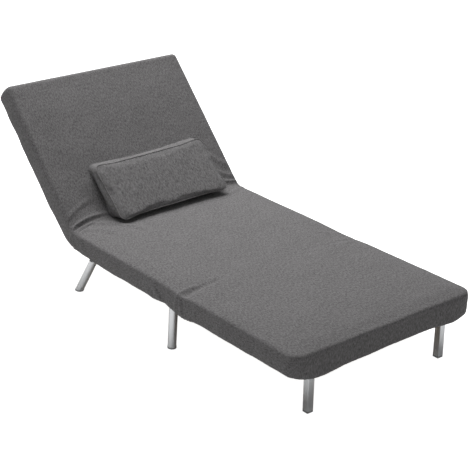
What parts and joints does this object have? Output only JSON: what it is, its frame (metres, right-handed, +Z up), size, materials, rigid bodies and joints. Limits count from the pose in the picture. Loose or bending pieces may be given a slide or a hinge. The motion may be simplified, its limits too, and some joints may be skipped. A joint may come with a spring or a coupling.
{
  "type": "convertible chair bed",
  "caption": "Upholstered single chair bed: seat on steel legs, ratchet reclining back, foot section that folds under, folding front legs and a loose lumbar pillow.",
  "frame": {"origin": "on the floor, midway between the foot edge and the rearmost edge of the raised back, on the centre line", "axes": "+Z up, +Y from the foot end towards the back, +X across the width towards the right seen from the foot end"},
  "size_m": [0.8, 1.7127, 0.6786],
  "materials": {
    "cover_fabric": "marl grey woven stretch cover",
    "pillow_fabric": "marl grey woven fabric",
    "foam": "open-cell foam",
    "clip_plastic": "moulded",
    "slat_wood": "bent beech",
    "foot_plastic": "moulded grey",
    "leg_steel": "satin silver",
    "frame_steel": "black powder coat",
    "hinge_steel": "zinc plated",
    "spring_steel": "spring steel"
  },
  "bodies": {
    "seat": {"foot_hinge_pins": "hinge_steel", "middle_leg_foot_left": "foot_plastic", "middle_leg_foot_right": "foot_plastic", "middle_leg_left": "leg_steel", "middle_leg_right": "leg_steel", "pivot_bolts": "hinge_steel", "ratchet_sector_left": "hinge_steel", "ratchet_sector_right": "hinge_steel", "rear_leg_foot_left": "foot_plastic", "rear_leg_foot_right": "foot_plastic", "rear_leg_left": "leg_steel", "rear_leg_right": "leg_steel", "seat_cover": "cover_fabric", "seat_foam": "foam", "seat_hinge_leaf_left": "hinge_steel", "seat_hinge_leaf_right": "hinge_steel", "seat_hinge_tube": "frame_steel", "seat_rail_left": "frame_steel", "seat_rail_right": "frame_steel", "seat_rear_tube": "frame_steel", "seat_slat_clips": "clip_plastic", "seat_slats": "slat_wood"},
    "foot": {"foot_cover": "cover_fabric", "foot_foam": "foam", "foot_front_tube": "frame_steel", "foot_hinge_leaf_left": "hinge_steel", "foot_hinge_leaf_right": "hinge_steel", "foot_hinge_tube": "frame_steel", "foot_rail_left": "frame_steel", "foot_rail_right": "frame_steel", "foot_slat_clips": "clip_plastic", "foot_slats": "slat_wood", "front_leg_bolts": "hinge_steel", "front_leg_bracket_left": "frame_steel", "front_leg_bracket_right": "frame_steel"},
    "back": {"back_cover": "cover_fabric", "back_foam": "foam", "back_low_tube": "frame_steel", "back_rail_left": "frame_steel", "back_rail_right": "frame_steel", "back_slat_clips": "clip_plastic", "back_slats": "slat_wood", "back_top_tube": "frame_steel", "pawl_pins": "hinge_steel", "pawl_spring_left": "spring_steel", "pawl_spring_right": "spring_steel", "ratchet_pawl_left": "hinge_steel", "ratchet_pawl_right": "hinge_steel", "recliner_plate_left": "hinge_steel", "recliner_plate_right": "hinge_steel"},
    "front_leg_left": {"front_leg_foot_left": "foot_plastic", "front_leg_left": "leg_steel"},
    "front_leg_right": {"front_leg_foot_right": "foot_plastic", "front_leg_right": "leg_steel"},
    "pillow": {"lumbar_pillow": "pillow_fabric"}
  },
  "joints": [
    {"name": "back_recline", "type": "hinge", "parent": "seat", "child": "back", "pos_m": [0, 0.39911, 0.187], "axis": [1, 0, 0], "range_deg": [-46.5, 31]},
    {"name": "foot_fold", "type": "hinge", "parent": "seat", "child": "foot", "pos_m": [0, -0.30549, 0.151], "axis": [1, 0, 0], "range_deg": [0, 180]},
    {"name": "front_leg_fold_left", "type": "hinge", "parent": "foot", "child": "front_leg_left", "pos_m": [-0.298, -0.80949, 0.168], "axis": [1, 0, 0], "range_deg": [0, 90]},
    {"name": "front_leg_fold_right", "type": "hinge", "parent": "foot", "child": "front_leg_right", "pos_m": [0.298, -0.80949, 0.168], "axis": [1, 0, 0], "range_deg": [0, 90]},
    {"name": "pillow_lift", "type": "slide", "parent": "back", "child": "pillow", "axis": [0, -0.7254, 0.6884], "range_m": [0, 0.3]}
  ],
  "couplings": [
    {"joint": "front_leg_fold_left", "follows": "foot_fold", "ratio": 0.5},
    {"joint": "front_leg_fold_right", "follows": "foot_fold", "ratio": 0.5}
  ]
}
